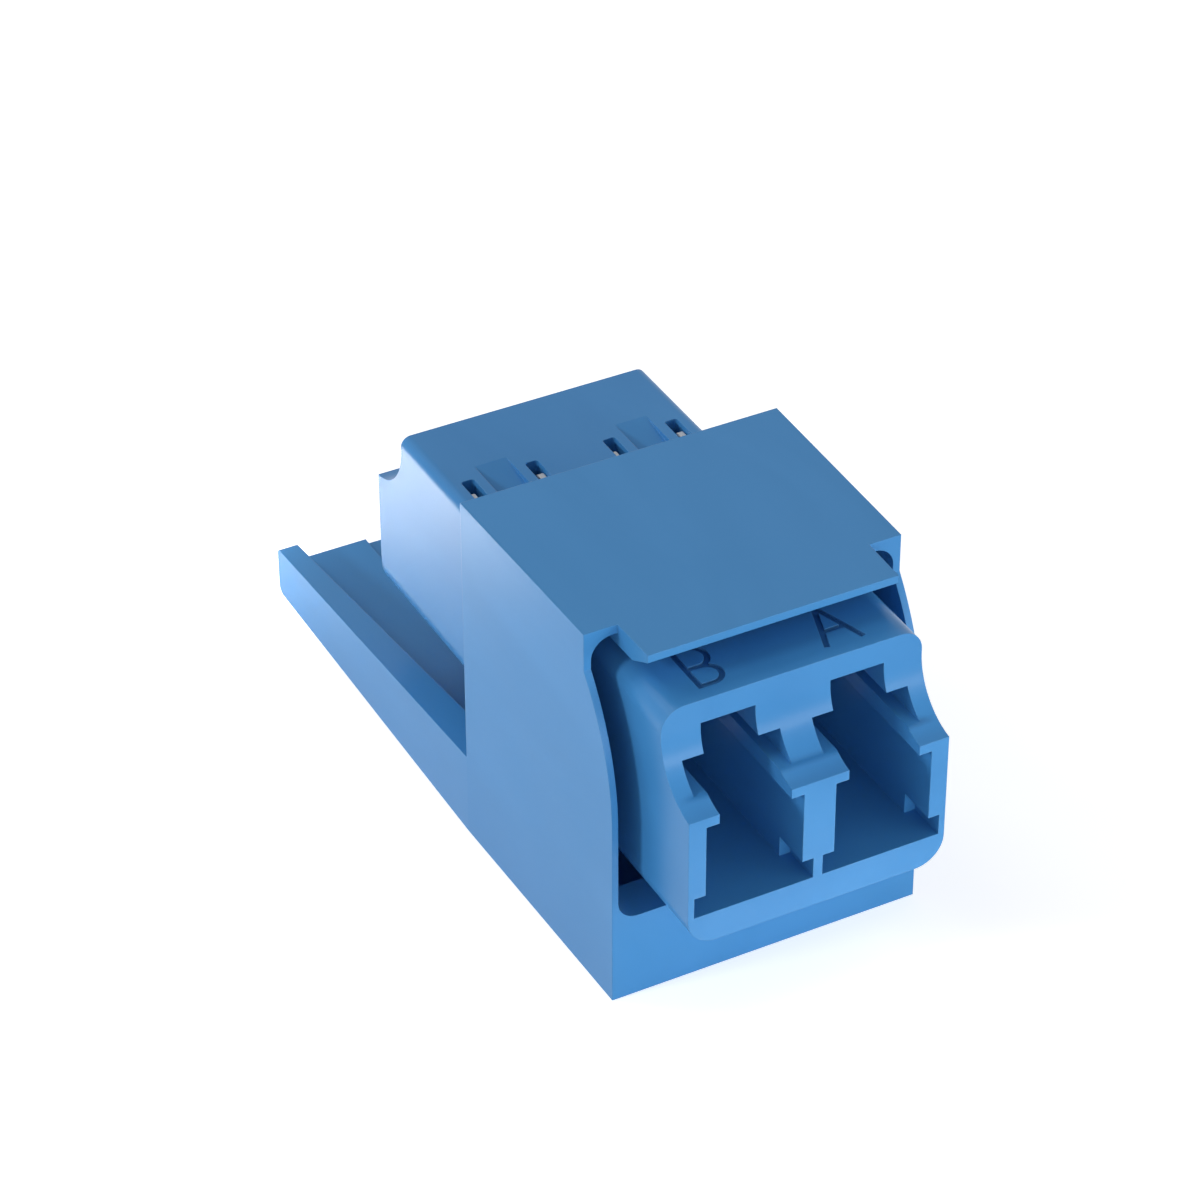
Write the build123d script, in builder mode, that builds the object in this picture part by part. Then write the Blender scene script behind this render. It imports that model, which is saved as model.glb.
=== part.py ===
"""Duplex fibre adapter with two ports at each end, held in a snap-in carrier with a release arm.

Millimetres. X runs across the ports, Y from the front ports to the rear, Z up.
The origin is on the carrier's underside, below the middle of the whole length.
"""
from build123d import *
from math import radians, tan
import os

# Clearances between pieces
slide_gap = 0.05
seat_gap = 0.1

# Ports, the same at both ends, from their floor up
port_pitch = 6.25
port_floor = 1.54
port_size = 4.7
key_width = 5.79
key_height = 1.05
key_depth = 1.93
lip_gap = 3.46
lip_thickness = 0.86
shoulder_height = 1.18
latch_slot_width = 2.62
front_slot_height = 1.4

# Pockets behind the shoulders, which catch a plug's latch
catch_distance = 6.6
catch_length = 3.9
catch_height = 0.55

# Adapter body
adapter_length = 29.75
body_width = 12.63
web_thickness = 1.15
front_roof = 1.2
rear_roof = 1.14
underside_radius = 1.4
front_top_radius = 1.1
rear_top_radius = 0.5

# Stepped ends: a lower face, a ledge, a hollow curve and a set-back upper face
front_ledge_thickness = 0.48
front_setback = 2.46
front_face_height = 1.32
rear_ledge_thickness = 0.19
rear_setback = 2.6
rear_face_height = 0.69

# Split sleeves, which line the ferrules up
ferrule_diameter = 1.25
sleeve_wall = 0.185
sleeve_length = 11.4
sleeve_slit = 0.3

# Sleeve holders
tube_wall = 0.42
tube_end_wall = 0.45
tube_lead_in = 0.15
funnel_inner_play = 0.1
funnel_angle = 30
plate_width = 11.6
plate_thickness = 1.0
plate_drop = 0.26
plate_radius = 0.6

# Snap arms of the rear holder
snap_arm_width = 0.3
snap_arm_thickness = 0.45
tooth_end_gap = 0.5
tooth_drop = 0.29
tooth_radius = 0.28

# Windows in the rear housing's top, where the arms' teeth catch
inner_window_x = 1.975
outer_window_x = 5.19
window_width = 0.64
window_length = 2.25
window_from_end = 7.1
window_radius = 0.15

# Sloped recesses in the rear housing's top, between the windows
ramp_width = 1.6
ramp_depth = 0.55
ramp_length = 3.9
ramp_from_end = 6.25

# Flange of the rear housing, which seats in the carrier
flange_thickness = 1.15
flange_radius = 1.0

# Pins that line the two housings up
pin_diameter = 0.8
pin_end_wall = 0.2

# Carrier, outside
adapter_proud = 4.25
side_wall_front = 0.3
side_wall_rear = 0.56
top_wall = 0.45
rear_wall = 1.675
sweep_setback = 2.41
sweep_height = 6.85
sweep_drop = 1.9

# Carrier, bay for the adapter
bay_floor = 4.37
bay_side_room = 1.045
bay_headroom = 1.3
bay_radius = 1.0
cradle_height = 1.2
cradle_setback = 4.2

# Carrier, hollow under the bay, open to the rear and to the front of the cradle
hollow_setback = 2.1
hollow_roof = 0.9

# Tab above the front ports
tab_width = 12.08
tab_draft = 0.31
tab_overhang = 2.53
tab_edge = 0.39
tab_thickness = 1.05
tab_bevel = 1.27

# Barbs that hold the flange
barb_side_gap = 0.25
barb_length = 2.2
barb_tip = 0.35
barb_height = 3.6

# Release arm, a channel with rails that get lower and thinner to the rear
arm_reach = 21.25
arm_taper = 0.21
arm_floor = 1.54
arm_end_radius = 0.45
rail_end_radius = 0.25
channel_front_width = 12.34
channel_rear_width = 13.44
rail_front_height = 4.28
rail_rear_height = 2.54
groove_width = 5.94
groove_depth = 0.3

# Heights, from the underside up
underside_z = bay_floor + cradle_height + slide_gap
port_floor_z = underside_z + port_floor
axis_z = port_floor_z + port_size / 2
lip_bottom_z = port_floor_z + port_size
lip_top_z = lip_bottom_z + lip_thickness
shoulder_z = lip_top_z + shoulder_height
front_slot_z = shoulder_z + front_slot_height
catch_z = shoulder_z + catch_height
front_top_z = front_slot_z + front_roof
rear_top_z = catch_z + rear_roof
arm_under_z = catch_z + slide_gap
plate_top_z = arm_under_z + snap_arm_thickness
plate_bottom_z = port_floor_z - plate_drop
bay_top_z = front_top_z + bay_headroom
carrier_height = bay_top_z + top_wall
tab_under_z = carrier_height - tab_thickness
flange_top_z = tab_under_z - seat_gap
sweep_top_z = carrier_height - sweep_drop
cradle_z = bay_floor + cradle_height
hollow_top_z = cradle_z - hollow_roof
front_ledge_z = lip_bottom_z + front_ledge_thickness
front_curve_z = front_top_z - front_face_height
rear_ledge_z = lip_bottom_z + rear_ledge_thickness
rear_curve_z = rear_top_z - rear_face_height
tooth_top_z = rear_top_z - tooth_drop

# Places along the length, from the front back
bay_depth = adapter_length / 2 - adapter_proud + flange_thickness + slide_gap
overall_length = adapter_proud + bay_depth + rear_wall + arm_reach
front_y = -overall_length / 2
rear_y = front_y + adapter_length
joint_y = front_y + adapter_length / 2
carrier_front_y = front_y + adapter_proud
sweep_y = carrier_front_y + sweep_setback
bay_rear_y = carrier_front_y + bay_depth
carrier_rear_y = bay_rear_y + rear_wall
arm_rear_y = carrier_rear_y + arm_reach
window_rear_y = rear_y - window_from_end
window_front_y = window_rear_y - window_length
tooth_rear_y = window_rear_y - tooth_end_gap
tooth_front_y = window_front_y + slide_gap
ramp_rear_y = rear_y - ramp_from_end
ramp_front_y = ramp_rear_y - ramp_length
tab_front_y = sweep_y - tab_overhang
barb_catch_y = joint_y - slide_gap

# Widths and round sizes that follow from the pieces inside
bay_width = body_width + 2 * bay_side_room
carrier_front_width = bay_width + 2 * side_wall_front
carrier_rear_width = bay_width + 2 * side_wall_rear
flange_width = bay_width - 2 * seat_gap
port_centres = [-port_pitch / 2, port_pitch / 2]
sleeve_diameter = ferrule_diameter + 2 * sleeve_wall
tube_bore = sleeve_diameter + 2 * slide_gap
tube_diameter = tube_bore + 2 * tube_wall
tube_reach = sleeve_length / 2 + slide_gap + tube_end_wall
funnel_flare = tube_end_wall * tan(radians(funnel_angle))
funnel_mouth_radius = ferrule_diameter / 2 + funnel_inner_play + funnel_flare
web_depth = plate_thickness + slide_gap + web_thickness
port_depth = adapter_length / 2 - web_depth
port_axes = [(x, axis_z) for x in port_centres]
window_centres = [side * x for side in (-1, 1) for x in (inner_window_x, outer_window_x)]
ramp_centres = [side * (inner_window_x + outer_window_x) / 2 for side in (-1, 1)]
pin_length = flange_thickness - pin_end_wall - slide_gap
barb_inner_x = body_width / 2 + barb_side_gap
barb_root_x = bay_width / 2 + side_wall_front / 2
pin_places = [(0, (underside_z + plate_bottom_z) / 2), (0, (plate_top_z + front_top_z) / 2)]


def across(y):
    """Upright plane across the ports at y, with X to the right and Z up."""
    return Plane.XZ.offset(-y)


def band(x, low_z, high_z, width):
    """Adds a rectangle centred on x from low_z to high_z to the open sketch."""
    with Locations((x, (low_z + high_z) / 2)):
        Rectangle(width, high_z - low_z)


def rounded_band(low_z, high_z, width, radius):
    """Adds a centred rectangle with rounded corners to the open sketch."""
    with Locations((0, (low_z + high_z) / 2)):
        RectangleRounded(width, high_z - low_z, radius)


def stepped_half(end_y, inward, top_z, ledge_z, curve_z, setback, top_radius):
    """Builds half of the adapter's body, from its joint to the stepped end at end_y, in the open part."""
    with BuildSketch(Plane.YZ) as profile:
        with BuildLine():
            Polyline(
                (end_y, ledge_z),
                (end_y, underside_z),
                (joint_y, underside_z),
                (joint_y, top_z),
                (end_y + inward * setback, top_z),
                (end_y + inward * setback, curve_z),
            )
            TangentArc((end_y + inward * setback, curve_z), (end_y, ledge_z), tangent=(0, -1))
        make_face()
    extrude(profile.sketch, amount=body_width / 2, both=True)
    long_edges = edges().filter_by(Axis.Y).group_by(Axis.Z)
    fillet(long_edges[0], underside_radius)
    fillet(long_edges[-1], top_radius)


def cut_ports(end_y, inward, slot_z):
    """Cuts both ports, their keyways and their latch pockets into the open part, from the end at end_y."""
    with BuildSketch(across(end_y)) as ports:
        for x in port_centres:
            band(x, port_floor_z, lip_bottom_z, port_size)
            band(x, lip_bottom_z, lip_top_z, lip_gap)
            band(x, lip_top_z, shoulder_z, port_size)
            band(x, shoulder_z, slot_z, latch_slot_width)
    extrude(ports.sketch, amount=-inward * port_depth, mode=Mode.SUBTRACT)
    with BuildSketch(across(end_y)) as keyways:
        for x in port_centres:
            band(x, port_floor_z, port_floor_z + key_height, key_width)
    extrude(keyways.sketch, amount=-inward * key_depth, mode=Mode.SUBTRACT)
    with BuildSketch(across(end_y + inward * catch_distance)) as pockets:
        for x in port_centres:
            band(x, shoulder_z, catch_z, port_size)
    extrude(pockets.sketch, amount=-inward * catch_length, mode=Mode.SUBTRACT)


def cut_holder_seat(inward):
    """Cuts the seat of a holder's plate and tubes into the open part, from the joint towards an end."""
    with BuildSketch(across(joint_y)) as plate_seat:
        rounded_band(
            plate_bottom_z - slide_gap,
            plate_top_z + slide_gap,
            plate_width + 2 * slide_gap,
            plate_radius,
        )
    extrude(plate_seat.sketch, amount=inward * (plate_thickness + slide_gap), mode=Mode.SUBTRACT)
    with BuildSketch(across(joint_y)) as tube_holes:
        with Locations(*port_axes):
            Circle(tube_diameter / 2 + seat_gap)
    extrude(tube_holes.sketch, amount=inward * web_depth, mode=Mode.SUBTRACT)


def holder_body(inward):
    """Builds a holder's plate and its two sleeve tubes in the open part, from the joint towards an end."""
    with BuildSketch(across(joint_y)) as plate:
        rounded_band(plate_bottom_z, plate_top_z, plate_width, plate_radius)
    extrude(plate.sketch, amount=inward * plate_thickness)
    with BuildSketch(across(joint_y)) as tubes:
        with Locations(*port_axes):
            Circle(tube_diameter / 2)
    extrude(tubes.sketch, amount=inward * tube_reach)
    tube_tips = edges().filter_by(GeomType.CIRCLE).group_by(Axis.Y)[0 if inward > 0 else -1]
    chamfer(tube_tips, tube_lead_in)
    with BuildSketch(across(joint_y)) as bores:
        with Locations(*port_axes):
            Circle(tube_bore / 2)
    extrude(bores.sketch, amount=inward * (tube_reach - tube_end_wall), mode=Mode.SUBTRACT)
    with BuildSketch(across(joint_y - inward * tube_reach)) as funnels:
        with Locations(*port_axes):
            Circle(funnel_mouth_radius)
    extrude(
        funnels.sketch,
        amount=-inward * tube_end_wall,
        taper=funnel_angle,
        mode=Mode.SUBTRACT,
    )


def snap_arm_centre(window_x):
    """Centre of the arm that catches at the window's side away from its ramp."""
    ramp_x = min(ramp_centres, key=lambda x: abs(x - window_x))
    outward = 1 if window_x > ramp_x else -1
    return window_x + outward * (window_width / 2 - slide_gap - snap_arm_width / 2)


def split_sleeve(x):
    """Builds one slit sleeve on the port axis at x in the open part."""
    with BuildSketch(across(joint_y - sleeve_length / 2)) as ring:
        with Locations((x, axis_z)):
            Circle(sleeve_diameter / 2)
            Circle(ferrule_diameter / 2, mode=Mode.SUBTRACT)
        with Locations((x, axis_z + sleeve_diameter / 2)):
            Rectangle(sleeve_slit, sleeve_diameter, mode=Mode.SUBTRACT)
    extrude(ring.sketch, amount=-sleeve_length)


os.makedirs("parts", exist_ok=True)

# Carrier: bay, tab, barbs and release arm, moulded in one
with BuildPart() as carrier:
    # Box that widens a little to the rear, its side walls swept back towards the top
    with BuildSketch(Plane.XY):
        with BuildLine():
            Polyline(
                (-carrier_front_width / 2, carrier_front_y),
                (carrier_front_width / 2, carrier_front_y),
                (carrier_rear_width / 2, carrier_rear_y),
                (-carrier_rear_width / 2, carrier_rear_y),
                close=True,
            )
        make_face()
    extrude(amount=carrier_height)
    with BuildSketch(Plane.YZ):
        with BuildLine():
            Polyline(
                (carrier_front_y, sweep_top_z - sweep_height),
                (carrier_front_y, 0),
                (carrier_rear_y, 0),
                (carrier_rear_y, carrier_height),
                (sweep_y, carrier_height),
                (sweep_y, sweep_top_z),
            )
            TangentArc(
                (carrier_front_y, sweep_top_z - sweep_height),
                (sweep_y, sweep_top_z),
                tangent=(0, 1),
            )
        make_face()
    extrude(amount=carrier_rear_width, both=True, mode=Mode.INTERSECT)

    # Release arm
    with BuildSketch(Plane.XY):
        with BuildLine():
            Polyline(
                (-carrier_rear_width / 2, carrier_rear_y),
                (carrier_rear_width / 2, carrier_rear_y),
                (carrier_rear_width / 2 - arm_taper, arm_rear_y),
                (-carrier_rear_width / 2 + arm_taper, arm_rear_y),
                close=True,
            )
        make_face()
    extrude(amount=rail_front_height)
    with BuildSketch(Plane.YZ):
        with BuildLine():
            Polyline(
                (carrier_rear_y, rail_front_height),
                (arm_rear_y, rail_front_height),
                (arm_rear_y, rail_rear_height),
                close=True,
            )
        make_face()
    extrude(amount=carrier_rear_width, both=True, mode=Mode.SUBTRACT)
    arm_end_edges = edges().filter_by(Axis.X).group_by(Axis.Y)[-1].sort_by(Axis.Z)
    fillet(arm_end_edges[0], arm_end_radius)
    fillet(edges().filter_by(Axis.X).group_by(Axis.Y)[-1].sort_by(Axis.Z)[-1], rail_end_radius)

    # Channel of the arm, which runs on as a hollow under the bay, and its middle groove
    with BuildSketch(Plane.XY.offset(arm_floor)):
        with BuildLine():
            Polyline(
                (-channel_front_width / 2, carrier_rear_y),
                (channel_front_width / 2, carrier_rear_y),
                (channel_rear_width / 2, arm_rear_y),
                (-channel_rear_width / 2, arm_rear_y),
                close=True,
            )
        make_face()
    extrude(amount=rail_front_height, mode=Mode.SUBTRACT)
    with BuildSketch(across(carrier_front_y + hollow_setback)):
        band(0, arm_floor, hollow_top_z, channel_front_width)
    extrude(amount=-(carrier_rear_y - carrier_front_y - hollow_setback), mode=Mode.SUBTRACT)
    with BuildSketch(across(carrier_front_y + hollow_setback)):
        band(0, arm_floor - groove_depth, arm_floor, groove_width)
    extrude(amount=-(arm_rear_y - carrier_front_y - hollow_setback), mode=Mode.SUBTRACT)

    # Bay with rounded corners, its raised cradle, and the way through its rear wall
    with BuildSketch(across(carrier_front_y)):
        rounded_band(bay_floor, bay_top_z, bay_width, bay_radius)
    extrude(amount=-bay_depth, mode=Mode.SUBTRACT)
    with BuildSketch(across(carrier_front_y + cradle_setback)):
        band(0, hollow_top_z, cradle_z, bay_width)
    extrude(amount=-(bay_depth - cradle_setback))
    with BuildSketch(across(bay_rear_y)):
        band(0, underside_z - seat_gap, rear_top_z + seat_gap, body_width + 2 * seat_gap)
        fillet(vertices().group_by(Axis.Y)[0], underside_radius)
        fillet(vertices().group_by(Axis.Y)[-1], rear_top_radius)
    extrude(amount=-rear_wall, mode=Mode.SUBTRACT)

    # Tab, which runs back under the bay's top as a rib, and the bevel under its front edge
    with BuildSketch(Plane.XY.offset(tab_under_z)):
        with BuildLine():
            Polyline(
                (-tab_width / 2, tab_front_y),
                (tab_width / 2, tab_front_y),
                (tab_width / 2 + tab_draft, bay_rear_y),
                (-tab_width / 2 - tab_draft, bay_rear_y),
                close=True,
            )
        make_face()
    extrude(amount=tab_thickness)
    with BuildSketch(Plane.YZ):
        with BuildLine():
            Polyline(
                (tab_front_y, tab_under_z),
                (tab_front_y, carrier_height - tab_edge),
                (tab_front_y + tab_bevel, tab_under_z),
                close=True,
            )
        make_face()
    extrude(amount=tab_width, both=True, mode=Mode.SUBTRACT)

    # Barbs on both side walls
    with BuildSketch(Plane.XY.offset((underside_z + flange_top_z - barb_height) / 2)):
        with BuildLine():
            Polyline(
                (barb_root_x, barb_catch_y),
                (barb_inner_x, barb_catch_y),
                (barb_inner_x, barb_catch_y - barb_tip),
                (barb_root_x, barb_catch_y - barb_length),
                close=True,
            )
        make_face()
        mirror(about=Plane.YZ)
    extrude(amount=barb_height)

carrier.part.label = "carrier"
export_step(carrier.part, "parts/carrier.step")

# Front housing, with pins on its joint face
with BuildPart() as front_housing:
    stepped_half(
        front_y,
        1,
        front_top_z,
        front_ledge_z,
        front_curve_z,
        front_setback,
        front_top_radius,
    )
    cut_ports(front_y, 1, front_slot_z)
    cut_holder_seat(1)
    with BuildSketch(across(joint_y)):
        with Locations(*pin_places):
            Circle(pin_diameter / 2)
    extrude(amount=-pin_length)

front_housing.part.label = "front_housing"
export_step(front_housing.part, "parts/front_housing.step")

# Rear housing, with a flange, pin sockets, windows and sloped recesses
with BuildPart() as rear_housing:
    stepped_half(
        rear_y,
        -1,
        rear_top_z,
        rear_ledge_z,
        rear_curve_z,
        rear_setback,
        rear_top_radius,
    )
    with BuildSketch(across(joint_y)):
        rounded_band(underside_z, flange_top_z, flange_width, flange_radius)
    extrude(amount=-flange_thickness)
    cut_ports(rear_y, -1, catch_z)
    cut_holder_seat(-1)
    with BuildSketch(across(joint_y)):
        with Locations(*pin_places):
            Circle(pin_diameter / 2 + slide_gap)
    extrude(amount=-(pin_length + slide_gap), mode=Mode.SUBTRACT)

    # Channels for the holder's snap arms, and the windows above their teeth
    with BuildSketch(across(joint_y)):
        for x in window_centres:
            band(
                snap_arm_centre(x),
                catch_z,
                plate_top_z + slide_gap,
                snap_arm_width + 2 * slide_gap,
            )
    extrude(amount=-(window_rear_y - joint_y), mode=Mode.SUBTRACT)
    with BuildSketch(Plane.XY.offset(rear_top_z)):
        with Locations(*[(x, (window_front_y + window_rear_y) / 2) for x in window_centres]):
            RectangleRounded(window_width, window_length, window_radius)
    extrude(amount=-rear_roof, mode=Mode.SUBTRACT)

    # Recesses that get deeper towards the carrier
    for x in ramp_centres:
        with BuildSketch(Plane.YZ.offset(x)):
            with BuildLine():
                Polyline(
                    (ramp_rear_y, rear_top_z),
                    (ramp_front_y, rear_top_z),
                    (ramp_front_y, rear_top_z - ramp_depth),
                    close=True,
                )
            make_face()
        extrude(amount=ramp_width / 2, both=True, mode=Mode.SUBTRACT)

rear_housing.part.label = "rear_housing"
export_step(rear_housing.part, "parts/rear_housing.step")

# Front sleeve holder
with BuildPart() as sleeve_holder_front:
    holder_body(1)

sleeve_holder_front.part.label = "sleeve_holder_front"
export_step(sleeve_holder_front.part, "parts/sleeve_holder_front.step")

# Rear sleeve holder, with snap arms whose teeth rise into the windows
with BuildPart() as sleeve_holder_rear:
    holder_body(-1)
    with BuildSketch(across(joint_y)):
        for x in window_centres:
            band(snap_arm_centre(x), arm_under_z, plate_top_z, snap_arm_width)
    extrude(amount=-(tooth_rear_y - joint_y))
    for x in window_centres:
        with BuildSketch(Plane.YZ.offset(snap_arm_centre(x))):
            with Locations(((tooth_front_y + tooth_rear_y) / 2, (arm_under_z + tooth_top_z) / 2)):
                Rectangle(tooth_rear_y - tooth_front_y, tooth_top_z - arm_under_z)
            fillet(vertices().group_by(Axis.X)[-1].sort_by(Axis.Y)[-1], tooth_radius)
        extrude(amount=snap_arm_width / 2, both=True)

sleeve_holder_rear.part.label = "sleeve_holder_rear"
export_step(sleeve_holder_rear.part, "parts/sleeve_holder_rear.step")

# Split sleeves
with BuildPart() as split_sleeve_a:
    split_sleeve(port_centres[1])

split_sleeve_a.part.label = "split_sleeve_a"
export_step(split_sleeve_a.part, "parts/split_sleeve_a.step")

with BuildPart() as split_sleeve_b:
    split_sleeve(port_centres[0])

split_sleeve_b.part.label = "split_sleeve_b"
export_step(split_sleeve_b.part, "parts/split_sleeve_b.step")
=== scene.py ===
"""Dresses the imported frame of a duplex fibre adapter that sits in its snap-in panel carrier.

Every size is in metres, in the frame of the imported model: +Y is the object's length, the ports
that the camera sees face -Y, and the carrier stands on Z = 0.
"""

import logging
import math
from dataclasses import dataclass, field
from enum import Enum

import bmesh
import bpy
from mathutils import Matrix, Vector


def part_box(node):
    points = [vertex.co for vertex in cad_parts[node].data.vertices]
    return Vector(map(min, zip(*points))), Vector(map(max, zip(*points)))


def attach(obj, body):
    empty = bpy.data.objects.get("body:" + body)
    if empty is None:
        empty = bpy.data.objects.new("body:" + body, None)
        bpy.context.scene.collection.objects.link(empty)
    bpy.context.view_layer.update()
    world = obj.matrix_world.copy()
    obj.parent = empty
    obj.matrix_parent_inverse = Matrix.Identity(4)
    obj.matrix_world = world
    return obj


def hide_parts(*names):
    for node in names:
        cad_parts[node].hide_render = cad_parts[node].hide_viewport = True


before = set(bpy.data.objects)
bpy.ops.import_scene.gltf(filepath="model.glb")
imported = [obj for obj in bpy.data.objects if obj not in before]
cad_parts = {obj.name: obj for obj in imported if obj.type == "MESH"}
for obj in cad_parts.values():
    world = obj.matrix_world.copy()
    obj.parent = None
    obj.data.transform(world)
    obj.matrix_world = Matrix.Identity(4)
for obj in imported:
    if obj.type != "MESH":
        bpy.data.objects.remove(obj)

log = logging.getLogger("fibre_adapter")

MM = 0.001
WHITE = (1.0, 1.0, 1.0, 1.0)
WELD_DISTANCE = 0.0005 * MM


class Polarity(Enum):
    """The two generic port marks, by the side of the housing they stand on."""

    A = "right"
    B = "left"


class Socket(Enum):
    """The kinds of socket that the node groups use, by their Blender names."""

    VALUE = "NodeSocketFloat"
    COLOUR = "NodeSocketColor"
    VECTOR = "NodeSocketVector"
    GEOMETRY = "NodeSocketGeometry"
    MATERIAL = "NodeSocketMaterial"


class Ray(Enum):
    """The kinds of ray that the stage tells apart, by their names on the Light Path node."""

    CAMERA = "Is Camera Ray"
    GLOSSY = "Is Glossy Ray"
    TRANSMISSION = "Is Transmission Ray"


def add_socket(tree: bpy.types.NodeTree, name: str, way: str, kind: Socket) -> str:
    """Adds one socket to a node group's interface.

    Args:
        tree: The group that gets the socket.
        name: The socket's name.
        way: INPUT or OUTPUT.
        kind: What the socket carries.

    Returns:
        The socket's identifier, by which a modifier sets it.
    """
    item = tree.interface.new_socket(name=name, in_out=way, socket_type=kind.value)
    return item.identifier


def ray_share(tree: bpy.types.NodeTree, *kinds: Ray) -> bpy.types.NodeSocket:
    """A value of 1 for rays of the named kinds, 0 for the rest.

    Args:
        tree: The node tree that it is made in.
        kinds: One or more kinds of ray.

    Returns:
        The socket that carries the value.
    """
    path = tree.nodes.new("ShaderNodeLightPath")
    share = path.outputs[kinds[0].value]
    for kind in kinds[1:]:
        either = tree.nodes.new("ShaderNodeMath")
        either.operation = "MAXIMUM"
        tree.links.new(share, either.inputs[0])
        tree.links.new(path.outputs[kind.value], either.inputs[1])
        share = either.outputs[0]
    return share


class ShaderGroups:
    """The shader groups that the finishes share, each built once."""

    BEVEL_SAMPLES = 6
    SOFT_EDGE = 0.05 * MM
    GRAIN_DETAIL = 3.0
    GRAIN_ROUGHNESS = 0.6
    SINK_SCALE = 260.0
    SINK_DETAIL = 1.0
    FLAT_MATCH = 0.995
    EDGE_MATCH = 0.78
    PATCH_DETAIL = 2.0
    PATCH_RANGE = (0.35, 0.7)
    FLOW_STRETCH = (1.0, 0.35, 1.0)
    FLOW_DETAIL = 3.0
    FLOW_SWIRL = 0.6
    FLOW_RANGE = (0.3, 0.7)

    def __init__(self) -> None:
        """Builds the three groups."""
        self.grain = self._mould_grain()
        self.wear = self._edge_wear()
        self.flow = self._flow_tint()

    def _mould_grain(self) -> bpy.types.NodeTree:
        """Fine spark-eroded texture and slow sink waves on softened edges.

        Returns:
            The group, which puts out a normal and a roughness.
        """
        tree = bpy.data.node_groups.new("mould_grain", "ShaderNodeTree")
        add_socket(tree, "Scale", "INPUT", Socket.VALUE)
        add_socket(tree, "Height", "INPUT", Socket.VALUE)
        add_socket(tree, "Wave", "INPUT", Socket.VALUE)
        add_socket(tree, "Roughness", "INPUT", Socket.VALUE)
        add_socket(tree, "Spread", "INPUT", Socket.VALUE)
        add_socket(tree, "Normal", "OUTPUT", Socket.VECTOR)
        add_socket(tree, "Roughness", "OUTPUT", Socket.VALUE)
        nodes, links = tree.nodes, tree.links
        given = nodes.new("NodeGroupInput")
        out = nodes.new("NodeGroupOutput")
        place = nodes.new("ShaderNodeTexCoord")

        fine = nodes.new("ShaderNodeTexNoise")
        fine.inputs["Detail"].default_value = self.GRAIN_DETAIL
        fine.inputs["Roughness"].default_value = self.GRAIN_ROUGHNESS
        links.new(place.outputs["Object"], fine.inputs["Vector"])
        links.new(given.outputs["Scale"], fine.inputs["Scale"])

        slow = nodes.new("ShaderNodeTexNoise")
        slow.inputs["Scale"].default_value = self.SINK_SCALE
        slow.inputs["Detail"].default_value = self.SINK_DETAIL
        links.new(place.outputs["Object"], slow.inputs["Vector"])

        rounded = nodes.new("ShaderNodeBevel")
        rounded.samples = self.BEVEL_SAMPLES
        rounded.inputs["Radius"].default_value = self.SOFT_EDGE

        wave = nodes.new("ShaderNodeBump")
        wave.inputs["Strength"].default_value = 1.0
        links.new(given.outputs["Wave"], wave.inputs["Distance"])
        links.new(slow.outputs["Fac"], wave.inputs["Height"])
        links.new(rounded.outputs["Normal"], wave.inputs["Normal"])

        bump = nodes.new("ShaderNodeBump")
        bump.inputs["Strength"].default_value = 1.0
        links.new(given.outputs["Height"], bump.inputs["Distance"])
        links.new(fine.outputs["Fac"], bump.inputs["Height"])
        links.new(wave.outputs["Normal"], bump.inputs["Normal"])

        centred = nodes.new("ShaderNodeMath")
        centred.operation = "SUBTRACT"
        centred.inputs[1].default_value = 0.5
        links.new(slow.outputs["Fac"], centred.inputs[0])
        spread = nodes.new("ShaderNodeMath")
        spread.operation = "MULTIPLY_ADD"
        links.new(centred.outputs[0], spread.inputs[0])
        links.new(given.outputs["Spread"], spread.inputs[1])
        links.new(given.outputs["Roughness"], spread.inputs[2])

        links.new(bump.outputs["Normal"], out.inputs["Normal"])
        links.new(spread.outputs[0], out.inputs["Roughness"])
        return tree

    def _edge_wear(self) -> bpy.types.NodeTree:
        """A mask of the outer edges, broken up where handling has polished them.

        Returns:
            The group, which puts out a mask from 0 to 1.
        """
        tree = bpy.data.node_groups.new("edge_wear", "ShaderNodeTree")
        add_socket(tree, "Radius", "INPUT", Socket.VALUE)
        add_socket(tree, "Amount", "INPUT", Socket.VALUE)
        add_socket(tree, "Break up", "INPUT", Socket.VALUE)
        add_socket(tree, "Mask", "OUTPUT", Socket.VALUE)
        nodes, links = tree.nodes, tree.links
        given = nodes.new("NodeGroupInput")
        out = nodes.new("NodeGroupOutput")
        place = nodes.new("ShaderNodeTexCoord")
        real = nodes.new("ShaderNodeNewGeometry")

        rounded = nodes.new("ShaderNodeBevel")
        rounded.samples = self.BEVEL_SAMPLES
        links.new(given.outputs["Radius"], rounded.inputs["Radius"])
        match = nodes.new("ShaderNodeVectorMath")
        match.operation = "DOT_PRODUCT"
        links.new(rounded.outputs["Normal"], match.inputs[0])
        links.new(real.outputs["Normal"], match.inputs[1])
        near = nodes.new("ShaderNodeMapRange")
        near.inputs["From Min"].default_value = self.FLAT_MATCH
        near.inputs["From Max"].default_value = self.EDGE_MATCH
        links.new(match.outputs["Value"], near.inputs["Value"])

        patches = nodes.new("ShaderNodeTexNoise")
        patches.inputs["Detail"].default_value = self.PATCH_DETAIL
        links.new(place.outputs["Object"], patches.inputs["Vector"])
        links.new(given.outputs["Break up"], patches.inputs["Scale"])
        broken = nodes.new("ShaderNodeMapRange")
        broken.inputs["From Min"].default_value = self.PATCH_RANGE[0]
        broken.inputs["From Max"].default_value = self.PATCH_RANGE[1]
        links.new(patches.outputs["Fac"], broken.inputs["Value"])

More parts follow.
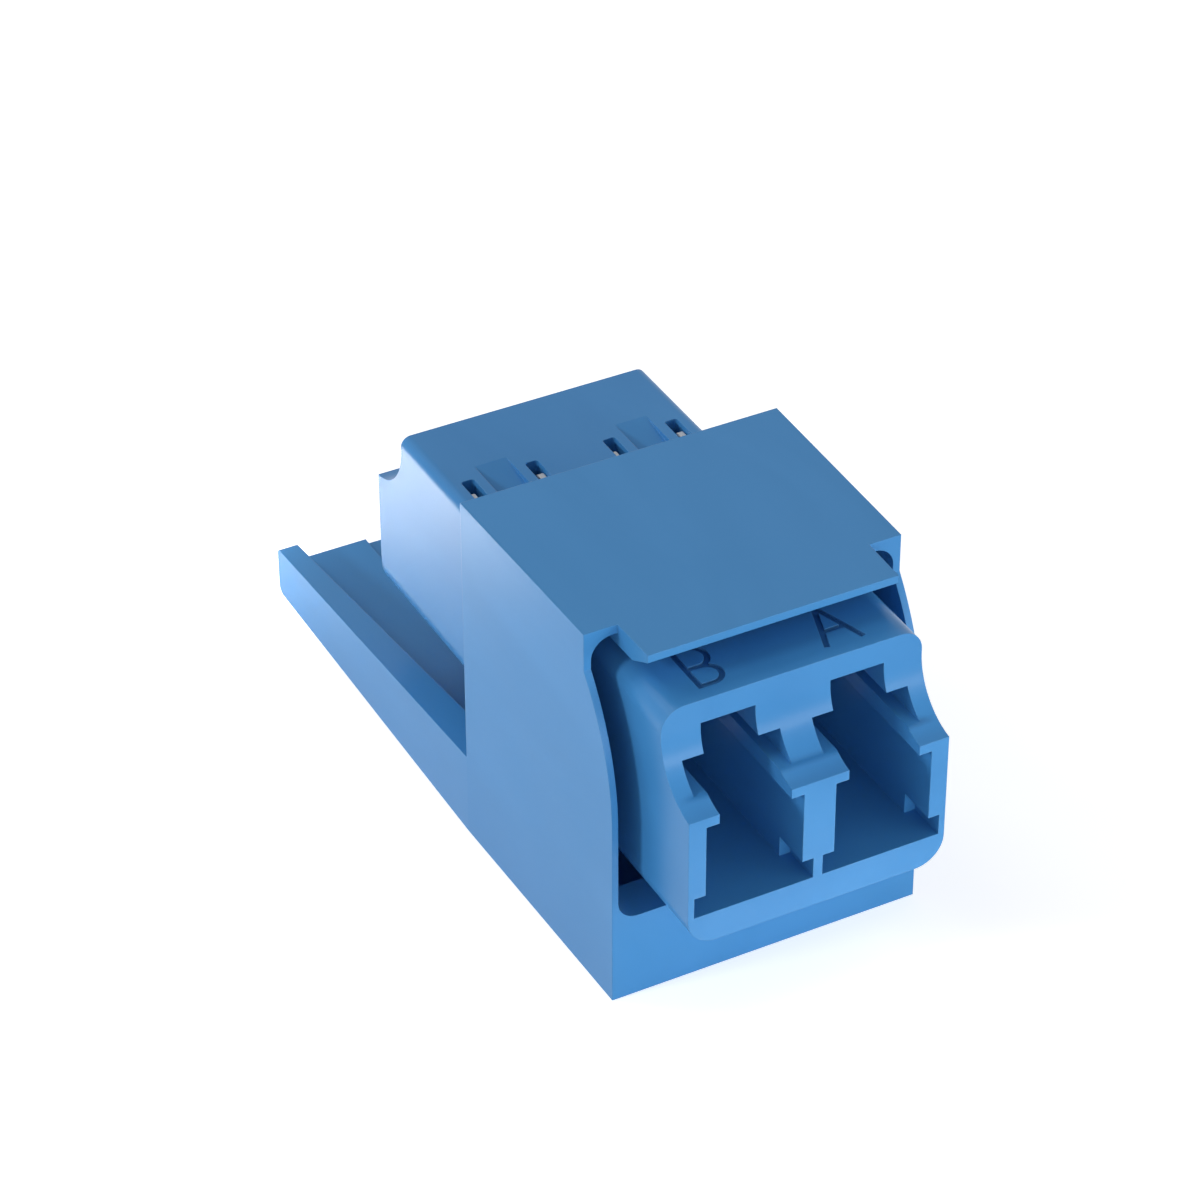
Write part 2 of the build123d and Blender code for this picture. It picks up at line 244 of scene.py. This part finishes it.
        both = nodes.new("ShaderNodeMath")
        both.operation = "MULTIPLY"
        links.new(near.outputs["Result"], both.inputs[0])
        links.new(broken.outputs["Result"], both.inputs[1])
        scaled = nodes.new("ShaderNodeMath")
        scaled.operation = "MULTIPLY"
        scaled.use_clamp = True
        links.new(both.outputs[0], scaled.inputs[0])
        links.new(given.outputs["Amount"], scaled.inputs[1])
        links.new(scaled.outputs[0], out.inputs["Mask"])
        return tree

    def _flow_tint(self) -> bpy.types.NodeTree:
        """The faint cloudy change of colour that the melt leaves, drawn out along the length.

        Returns:
            The group, which puts out a colour.
        """
        tree = bpy.data.node_groups.new("flow_tint", "ShaderNodeTree")
        add_socket(tree, "Deep", "INPUT", Socket.COLOUR)
        add_socket(tree, "Light", "INPUT", Socket.COLOUR)
        add_socket(tree, "Scale", "INPUT", Socket.VALUE)
        add_socket(tree, "Worn", "INPUT", Socket.COLOUR)
        add_socket(tree, "Wear", "INPUT", Socket.VALUE)
        add_socket(tree, "Colour", "OUTPUT", Socket.COLOUR)
        nodes, links = tree.nodes, tree.links
        given = nodes.new("NodeGroupInput")
        out = nodes.new("NodeGroupOutput")
        place = nodes.new("ShaderNodeTexCoord")
        drawn = nodes.new("ShaderNodeMapping")
        drawn.inputs["Scale"].default_value = self.FLOW_STRETCH
        links.new(place.outputs["Object"], drawn.inputs["Vector"])
        cloud = nodes.new("ShaderNodeTexNoise")
        cloud.inputs["Detail"].default_value = self.FLOW_DETAIL
        cloud.inputs["Distortion"].default_value = self.FLOW_SWIRL
        links.new(drawn.outputs["Vector"], cloud.inputs["Vector"])
        links.new(given.outputs["Scale"], cloud.inputs["Scale"])
        share = nodes.new("ShaderNodeMapRange")
        share.inputs["From Min"].default_value = self.FLOW_RANGE[0]
        share.inputs["From Max"].default_value = self.FLOW_RANGE[1]
        links.new(cloud.outputs["Fac"], share.inputs["Value"])
        tint = nodes.new("ShaderNodeMix")
        tint.data_type = "RGBA"
        links.new(share.outputs["Result"], tint.inputs["Factor"])
        links.new(given.outputs["Deep"], tint.inputs["A"])
        links.new(given.outputs["Light"], tint.inputs["B"])
        worn = nodes.new("ShaderNodeMix")
        worn.data_type = "RGBA"
        links.new(given.outputs["Wear"], worn.inputs["Factor"])
        links.new(tint.outputs["Result"], worn.inputs["A"])
        links.new(given.outputs["Worn"], worn.inputs["B"])
        links.new(worn.outputs["Result"], out.inputs["Colour"])
        return tree


def from_display(red: int, green: int, blue: int) -> tuple[float, float, float, float]:
    """Turns a display colour into the linear colour that a shader takes.

    Args:
        red: Red, 0 to 255.
        green: Green, 0 to 255.
        blue: Blue, 0 to 255.

    Returns:
        Linear red, green and blue, and an alpha of 1.
    """
    parts = [part / 255 for part in (red, green, blue)]
    linear = [p / 12.92 if p <= 0.04045 else ((p + 0.055) / 1.055) ** 2.4 for p in parts]
    return (linear[0], linear[1], linear[2], 1.0)


@dataclass(frozen=True)
class Moulded:
    """A moulded or fired finish: its colours, its gloss and its surface texture."""

    name: str
    deep: tuple[float, float, float, float]
    light: tuple[float, float, float, float]
    worn: tuple[float, float, float, float]
    roughness: float = 0.3
    spread: float = 0.06
    grain_scale: float = 9000.0
    grain_height: float = 0.0012 * MM
    wave_height: float = 0.004 * MM
    cloud_scale: float = 180.0
    wear_radius: float = 0.12 * MM
    wear_amount: float = 0.35
    wear_patches: float = 500.0
    ior: float = 1.5
    specular: float = 0.2

    def material(self, groups: ShaderGroups) -> bpy.types.Material:
        """Builds the material.

        Args:
            groups: The shared shader groups.

        Returns:
            The finished material.
        """
        mat = bpy.data.materials.new(self.name)
        mat.use_nodes = True
        nodes, links = mat.node_tree.nodes, mat.node_tree.links
        shader = nodes["Principled BSDF"]
        shader.inputs["IOR"].default_value = self.ior
        shader.inputs["Specular IOR Level"].default_value = self.specular

        wear = nodes.new("ShaderNodeGroup")
        wear.node_tree = groups.wear
        wear.inputs["Radius"].default_value = self.wear_radius
        wear.inputs["Amount"].default_value = self.wear_amount
        wear.inputs["Break up"].default_value = self.wear_patches

        flow = nodes.new("ShaderNodeGroup")
        flow.node_tree = groups.flow
        flow.inputs["Deep"].default_value = self.deep
        flow.inputs["Light"].default_value = self.light
        flow.inputs["Worn"].default_value = self.worn
        flow.inputs["Scale"].default_value = self.cloud_scale
        links.new(wear.outputs["Mask"], flow.inputs["Wear"])
        links.new(flow.outputs["Colour"], shader.inputs["Base Color"])

        grain = nodes.new("ShaderNodeGroup")
        grain.node_tree = groups.grain
        grain.inputs["Scale"].default_value = self.grain_scale
        grain.inputs["Height"].default_value = self.grain_height
        grain.inputs["Wave"].default_value = self.wave_height
        grain.inputs["Roughness"].default_value = self.roughness
        grain.inputs["Spread"].default_value = self.spread
        links.new(grain.outputs["Normal"], shader.inputs["Normal"])
        links.new(grain.outputs["Roughness"], shader.inputs["Roughness"])
        return mat


CARRIER_BLUE = Moulded(
    name="carrier_blue",
    deep=from_display(62, 132, 190),
    light=from_display(68, 138, 197),
    worn=from_display(104, 162, 214),
    roughness=0.34,
)
HOUSING_BLUE = Moulded(
    name="housing_blue",
    deep=from_display(60, 130, 190),
    light=from_display(66, 137, 197),
    worn=from_display(104, 162, 214),
    roughness=0.3,
)
# Darker blue for the engraved letter faces: painted shade that stands in for the shadow inside
# the engraving.
MARK_PAINTED_SHADE = Moulded(
    name="engraved_painted_shade",
    deep=from_display(50, 106, 160),
    light=from_display(56, 113, 168),
    worn=from_display(80, 138, 190),
    roughness=0.5,
    wear_amount=0.1,
)
HOLDER_WHITE = Moulded(
    name="holder_white",
    deep=from_display(226, 225, 221),
    light=from_display(236, 235, 231),
    worn=from_display(244, 243, 240),
    roughness=0.38,
    wear_amount=0.2,
)
SLEEVE_CERAMIC = Moulded(
    name="sleeve_ceramic",
    deep=from_display(236, 234, 226),
    light=from_display(243, 241, 234),
    worn=from_display(250, 249, 245),
    roughness=0.16,
    spread=0.03,
    grain_scale=20000.0,
    grain_height=0.0004 * MM,
    wave_height=0.001 * MM,
    ior=2.1,
    wear_amount=0.1,
)


class StrokeCutter:
    """A Geometry Nodes tree that sweeps a mark's strokes into a cutter of one width and depth."""

    def __init__(self) -> None:
        """Builds the tree and keeps the identifiers of its inputs."""
        tree = bpy.data.node_groups.new("stroke_cutter", "GeometryNodeTree")
        add_socket(tree, "Geometry", "INPUT", Socket.GEOMETRY)
        self.width = add_socket(tree, "Stroke width", "INPUT", Socket.VALUE)
        self.depth = add_socket(tree, "Depth", "INPUT", Socket.VALUE)
        # The material set on the cutter goes to the faces that it cuts: for the letters, a darker
        # blue painted as their shade.
        self.finish = add_socket(tree, "Finish", "INPUT", Socket.MATERIAL)
        add_socket(tree, "Geometry", "OUTPUT", Socket.GEOMETRY)
        nodes, links = tree.nodes, tree.links
        given = nodes.new("NodeGroupInput")
        out = nodes.new("NodeGroupOutput")
        twice = nodes.new("ShaderNodeMath")
        twice.operation = "MULTIPLY"
        twice.inputs[1].default_value = 2.0
        links.new(given.outputs["Depth"], twice.inputs[0])
        section = nodes.new("GeometryNodeCurvePrimitiveQuadrilateral")
        section.mode = "RECTANGLE"
        links.new(given.outputs["Stroke width"], section.inputs["Width"])
        links.new(twice.outputs[0], section.inputs["Height"])
        upright = nodes.new("GeometryNodeSetCurveNormal")
        upright.mode = "Z_UP"
        links.new(given.outputs["Geometry"], upright.inputs["Curve"])
        swept = nodes.new("GeometryNodeCurveToMesh")
        swept.inputs["Fill Caps"].default_value = True
        links.new(upright.outputs["Curve"], swept.inputs["Curve"])
        links.new(section.outputs["Curve"], swept.inputs["Profile Curve"])
        real = nodes.new("GeometryNodeRealizeInstances")
        links.new(swept.outputs["Mesh"], real.inputs["Geometry"])
        dressed = nodes.new("GeometryNodeSetMaterial")
        links.new(real.outputs["Geometry"], dressed.inputs["Geometry"])
        links.new(given.outputs["Finish"], dressed.inputs["Material"])
        links.new(dressed.outputs["Geometry"], out.inputs["Geometry"])
        self.tree = tree

    def cut_body(
        self,
        name: str,
        strokes: list[list[Vector]],
        width: float,
        depth: float,
        finish: bpy.types.Material,
    ) -> bpy.types.Object:
        """Sweeps the strokes and returns the solid cutter.

        Args:
            name: The cutter's name.
            strokes: The centre line of each stroke.
            width: The stroke's width.
            depth: How far the cutter reaches to either side of the centre line.
            finish: The material of the faces that it cuts; for the letters, a darker blue painted
                as their shade.

        Returns:
            An object whose mesh is the cutter.
        """
        curve = bpy.data.curves.new(name, "CURVE")
        curve.dimensions = "3D"
        for points in strokes:
            spline = curve.splines.new("POLY")
            spline.points.add(len(points) - 1)
            for point, place in zip(spline.points, points):
                point.co = (*place, 1.0)
        source = bpy.data.objects.new(f"{name}_strokes", curve)
        bpy.context.scene.collection.objects.link(source)
        modifier = source.modifiers.new("sweep", "NODES")
        modifier.node_group = self.tree
        modifier[self.width] = width
        modifier[self.depth] = depth
        modifier[self.finish] = finish
        bpy.context.view_layer.update()
        graph = bpy.context.evaluated_depsgraph_get()
        mesh = bpy.data.meshes.new_from_object(source.evaluated_get(graph), depsgraph=graph)
        bpy.data.objects.remove(source)
        cutter = bpy.data.objects.new(name, mesh)
        bpy.context.scene.collection.objects.link(cutter)
        return cutter


def merged_copy(node: str, name: str) -> bpy.types.Object:
    """Copies a CAD node and joins its loose triangles.

    Args:
        node: The CAD node's name.
        name: The copy's name.

    Returns:
        The copy, linked to the scene.
    """
    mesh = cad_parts[node].data.copy()
    mesh.name = name
    bm = bmesh.new()
    bm.from_mesh(mesh)
    bmesh.ops.remove_doubles(bm, verts=bm.verts, dist=WELD_DISTANCE)
    bm.to_mesh(mesh)
    bm.free()
    if "custom_normal" in mesh.attributes:
        mesh.attributes.remove(mesh.attributes["custom_normal"])
    obj = bpy.data.objects.new(name, mesh)
    bpy.context.scene.collection.objects.link(obj)
    return obj


def bake_modifiers(obj: bpy.types.Object) -> None:
    """Replaces an object's mesh by its evaluated mesh and takes its modifiers off."""
    bpy.context.view_layer.update()
    graph = bpy.context.evaluated_depsgraph_get()
    mesh = bpy.data.meshes.new_from_object(obj.evaluated_get(graph), depsgraph=graph)
    obj.modifiers.clear()
    obj.data = mesh


def smooth_by_angle(obj: bpy.types.Object, degrees: float = 30.0) -> None:
    """Shades an object smooth with creases, and keeps its flat faces flat beside its fillets.

    Args:
        obj: The object.
        degrees: Edges that turn more than this stay sharp.
    """
    obj.data.shade_smooth()
    obj.data.set_sharp_from_angle(angle=math.radians(degrees))
    weighted = obj.modifiers.new("weighted", "WEIGHTED_NORMAL")
    weighted.keep_sharp = True
    weighted.weight = 100
    bake_modifiers(obj)


def paint_node(node: str, material: bpy.types.Material) -> None:
    """Puts one material on every slot of a CAD node."""
    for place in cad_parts[node].material_slots:
        place.material = material


@dataclass
class Carrier:
    """The snap-in carrier with its release arm, one moulding."""

    node: str = "carrier"

    def build(self, blue: bpy.types.Material) -> None:
        """Dresses the carrier's CAD solid, whose shape is right as it is.

        Args:
            blue: The carrier's finish.
        """
        paint_node(self.node, blue)
        log.info("carrier: CAD solid in %s", blue.name)


@dataclass
class PolarityMarks:
    """The two port letters, as centre lines of their strokes on the housing's top."""

    top: float
    foot: float = -16.2 * MM
    waist: float = -14.95 * MM
    head: float = -13.6 * MM
    stroke: float = 0.27 * MM
    depth: float = 0.12 * MM
    stem: float = -3.99 * MM
    bowl_right: float = -2.7 * MM
    apex: float = 2.93 * MM
    spread: float = 0.89 * MM
    bar_rise: float = 0.9 * MM
    arc_steps: int = 12

    def _bowl(self, low: float, high: float) -> list[Vector]:
        """One bowl of the letter B, from the stem round and back to it.

        Args:
            low: The Y of its lower bar.
            high: The Y of its upper bar.

        Returns:
            The bowl's centre line.
        """
        radius = (high - low) / 2
        middle = Vector((self.bowl_right - radius, (low + high) / 2, self.top))
        line = [Vector((self.stem, low, self.top))]
        for step in range(self.arc_steps + 1):
            turn = -math.pi / 2 + math.pi * step / self.arc_steps
            line.append(middle + radius * Vector((math.cos(turn), math.sin(turn), 0.0)))
        line.append(Vector((self.stem, high, self.top)))
        return line

    def strokes(self, mark: Polarity) -> list[list[Vector]]:
        """The centre lines of one letter.

        Args:
            mark: Which letter.

        Returns:
            One list of points for each stroke.
        """
        if mark is Polarity.B:
            beyond = self.stroke / 2
            return [
                [
                    Vector((self.stem, self.foot - beyond, self.top)),
                    Vector((self.stem, self.head + beyond, self.top)),
                ],
                self._bowl(self.foot, self.waist),
                self._bowl(self.waist, self.head),
            ]
        low = self.foot - self.stroke / 2
        bar = self.foot + self.bar_rise
        lean = self.spread * (1 - (bar - low) / (self.head - low))
        return [
            [
                Vector((self.apex - self.spread, low, self.top)),
                Vector((self.apex, self.head, self.top)),
            ],
            [
                Vector((self.apex, self.head, self.top)),
                Vector((self.apex + self.spread, low, self.top)),
            ],
            [
                Vector((self.apex - lean, bar, self.top)),
                Vector((self.apex + lean, bar, self.top)),
            ],
        ]


@dataclass
class AdapterBody:
    """The two halves of the adapter's housing, the front one with its engraved port letters."""

    front_node: str = "front_housing"
    rear_node: str = "rear_housing"
    marks: PolarityMarks = field(init=False)

    def __post_init__(self) -> None:
        """Sets the letters on the front half's top."""
        self.marks = PolarityMarks(top=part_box(self.front_node)[1].z)

    def build(self, blue: bpy.types.Material, mark_painted_shade: bpy.types.Material) -> None:
        """Dresses the rear half and builds the engraved front half.

        Args:
            blue: The housing's finish.
            mark_painted_shade: The engraved faces' material, a darker blue painted as the shade
                inside the letters.
        """
        paint_node(self.rear_node, blue)
        log.info("rear_housing: CAD solid in %s", blue.name)
        piece = merged_copy(self.front_node, "front_housing_engraved")
        piece.data.materials.clear()
        piece.data.materials.append(blue)
        # Second slot: the darker blue painted as shade on the engraved faces.
        piece.data.materials.append(mark_painted_shade)
        sweeper = StrokeCutter()
        for mark in Polarity:
            self._engrave(piece, mark, sweeper, mark_painted_shade)
        smooth_by_angle(piece)
        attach(piece, "root")
        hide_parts(self.front_node)
        log.info("%s: %d faces", piece.name, len(piece.data.polygons))

    def _engrave(
        self,
        piece: bpy.types.Object,
        mark: Polarity,
        sweeper: StrokeCutter,
        finish: bpy.types.Material,
    ) -> None:
        """Cuts one letter into the housing.

        Args:
            piece: The housing.
            mark: Which letter.
            sweeper: What turns the letter's strokes into a cutter.
            finish: The material of the cut faces, a darker blue painted as the shade inside the
                letter.
        """
        cutter = sweeper.cut_body(
            f"mark_{mark.name}",
            self.marks.strokes(mark),
            self.marks.stroke,
            self.marks.depth,
            finish,
        )
        cut = piece.modifiers.new("engrave", "BOOLEAN")
        cut.operation = "DIFFERENCE"
        cut.solver = "EXACT"
        cut.use_self = True
        # The cut faces take the cutter's darker blue: painted shade inside the letter.
        cut.material_mode = "TRANSFER"
        cut.object = cutter
        bake_modifiers(piece)
        bpy.data.objects.remove(cutter)


@dataclass
class FerruleGuides:
    """The white holders with their snap arms and the split sleeves inside them."""

    holders: tuple[str, ...] = ("sleeve_holder_front", "sleeve_holder_rear")
    sleeves: tuple[str, ...] = ("split_sleeve_a", "split_sleeve_b")

    def build(self, white: bpy.types.Material, ceramic: bpy.types.Material) -> None:
        """Dresses the holders and sleeves, whose CAD solids are right as they are.

        Args:
            white: The holders' finish.
            ceramic: The sleeves' finish.
        """
        for node in self.holders:
            paint_node(node, white)
            log.info("%s: CAD solid in %s", node, white.name)
        for node in self.sleeves:
            paint_node(node, ceramic)
            log.info("%s: CAD solid in %s", node, ceramic.name)


@dataclass(frozen=True)
class Lamp:
    """One soft lamp: where it stands, its size and strength, what it points at and its cone."""

    name: str
    place: tuple[float, float, float]
    size: tuple[float, float]
    watts: float
    aim: tuple[float, float, float] = (0.0, 0.0, 0.008)
    cone: float = 180.0

    @classmethod
    def over_floor(
        cls,
        name: str,
        place: tuple[float, float, float],
        size: tuple[float, float],
        watts: float,
        cone: float,
    ) -> "Lamp":
        """A lamp that shines straight down and brightens one spot of the floor.

        Args:
            name: The lamp's name.
            place: Where it stands.
            size: Its width and length.
            watts: Its strength.
            cone: The full angle of its light, in degrees.

        Returns:
            The lamp.
        """
        return cls(name, place, size, watts, (place[0], place[1], 0.0), cone)

    def build(self) -> None:
        """Makes the lamp."""
        data = bpy.data.lights.new(self.name, "AREA")
        data.shape = "RECTANGLE"
        data.size, data.size_y = self.size
        data.energy = self.watts
        data.spread = math.radians(self.cone)
        obj = bpy.data.objects.new(self.name, data)
        obj.location = self.place
        ahead = Vector(self.aim) - Vector(self.place)
        obj.rotation_euler = ahead.to_track_quat("-Z", "Y").to_euler()
        bpy.context.scene.collection.objects.link(obj)
        log.info("%s: %.4f W", self.name, self.watts)


@dataclass
class Studio:
    """The pale floor, the soft light and the camera."""

    floor_radius: float = 0.9
    floor_segments: int = 96
    floor_colour: float = 0.82
    floor_roughness: float = 0.9
    floor_specular: float = 0.1
    floor_glow: float = 0.58
    floor_mirror: float = 0.62
    air: float = 0.37
    lens: float = 129.0
    sensor: float = 36.0
    clip: tuple[float, float] = (0.01, 10.0)
    eye: tuple[float, float, float] = (-0.07431, -0.14034, 0.12414)
    right: tuple[float, float, float] = (0.88312029, -0.46913759, -0.00290976)
    down: tuple[float, float, float] = (-0.27710908, -0.51661465, -0.81013571)
    ahead: tuple[float, float, float] = (0.37856189, 0.7162536, -0.58623516)
    lamps: tuple[Lamp, ...] = (
        Lamp("front", (0.02, -0.38, 0.05), (0.36, 0.09), 0.78),
        Lamp("front_right", (0.28, -0.26, 0.09), (0.26, 0.16), 0.38),
        Lamp("left", (-0.34, 0.02, 0.16), (0.05, 0.05), 0.45),
        Lamp("left_rear", (-0.26, 0.22, 0.30), (0.12, 0.12), 0.25),
        Lamp("rear", (-0.10, 0.26, 0.36), (0.12, 0.12), 0.15),
        Lamp.over_floor("floor_far", (-0.022, 0.030, 0.020), (0.012, 0.012), 0.009, 80.0),
        Lamp.over_floor("floor_front", (0.002, -0.026, 0.010), (0.016, 0.004), 0.0006, 70.0),
        Lamp.over_floor("floor_near", (-0.016, 0.026, 0.012), (0.01, 0.01), 0.001, 100.0),
    )

    def build(self) -> None:
        """Builds the floor, the world, the lamps and the camera."""
        self._floor()
        self._world()
        for lamp in self.lamps:
            lamp.build()
        self._camera()

    def _floor(self) -> None:
        """A pale round floor that keeps the object's shadow and shows white to the camera."""
        mesh = bpy.data.meshes.new("floor")
        bm = bmesh.new()
        bmesh.ops.create_circle(
            bm, cap_ends=True, segments=self.floor_segments, radius=self.floor_radius
        )
        bm.to_mesh(mesh)
        bm.free()
        floor = bpy.data.objects.new("floor", mesh)
        bpy.context.scene.collection.objects.link(floor)
        mat = bpy.data.materials.new("floor_pale")
        mat.use_nodes = True
        tree = mat.node_tree
        nodes, links = tree.nodes, tree.links
        shader = nodes["Principled BSDF"]
        shader.inputs["Base Color"].default_value = (self.floor_colour,) * 3 + (1.0,)
        shader.inputs["Roughness"].default_value = self.floor_roughness
        shader.inputs["Specular IOR Level"].default_value = self.floor_specular
        glow = nodes.new("ShaderNodeEmission")
        glow.inputs["Color"].default_value = WHITE
        direct = nodes.new("ShaderNodeMath")
        direct.operation = "MULTIPLY"
        direct.inputs[1].default_value = self.floor_glow
        links.new(ray_share(tree, Ray.CAMERA, Ray.TRANSMISSION), direct.inputs[0])
        strength = nodes.new("ShaderNodeMath")
        strength.operation = "MULTIPLY_ADD"
        strength.inputs[1].default_value = self.floor_mirror
        links.new(ray_share(tree, Ray.GLOSSY), strength.inputs[0])
        links.new(direct.outputs[0], strength.inputs[2])
        links.new(strength.outputs[0], glow.inputs["Strength"])
        both = nodes.new("ShaderNodeAddShader")
        links.new(shader.outputs["BSDF"], both.inputs[0])
        links.new(glow.outputs["Emission"], both.inputs[1])
        links.new(both.outputs["Shader"], nodes["Material Output"].inputs["Surface"])
        mesh.materials.append(mat)
        log.info("floor: radius %.2f m", self.floor_radius)

    def _world(self) -> None:
        """An even pale sky that shows as white behind the object."""
        world = bpy.data.worlds.new("studio_air")
        bpy.context.scene.world = world
        world.use_nodes = True
        tree = world.node_tree
        sky = tree.nodes["Background"]
        sky.inputs["Color"].default_value = WHITE
        strength = tree.nodes.new("ShaderNodeMapRange")
        strength.inputs["To Min"].default_value = self.air
        strength.inputs["To Max"].default_value = 1.0
        seen = ray_share(tree, Ray.CAMERA, Ray.GLOSSY, Ray.TRANSMISSION)
        tree.links.new(seen, strength.inputs["Value"])
        tree.links.new(strength.outputs["Result"], sky.inputs["Strength"])

    def _camera(self) -> None:
        """The camera, at the photograph's viewing angle and frame."""
        data = bpy.data.cameras.new("camera")
        data.sensor_width = self.sensor
        data.lens = self.lens
        data.clip_start, data.clip_end = self.clip
        camera = bpy.data.objects.new("camera", data)
        axes = Matrix((self.right, [-part for part in self.down], [-part for part in self.ahead]))
        place = axes.transposed().to_4x4()
        place.translation = self.eye
        camera.matrix_world = place
        bpy.context.scene.collection.objects.link(camera)
        bpy.context.scene.camera = camera
        log.info("camera: %.0f mm lens", self.lens)


def main() -> None:
    """Builds the pieces in order and sets the picture up."""
    logging.basicConfig(level=logging.INFO, format="%(name)s: %(message)s")
    bpy.context.view_layer.update()
    groups = ShaderGroups()
    housing = HOUSING_BLUE.material(groups)
    Carrier().build(CARRIER_BLUE.material(groups))
    AdapterBody().build(housing, MARK_PAINTED_SHADE.material(groups))
    FerruleGuides().build(HOLDER_WHITE.material(groups), SLEEVE_CERAMIC.material(groups))
    Studio().build()
    bpy.context.scene.view_settings.view_transform = "Standard"


if __name__ == "__main__":
    main()
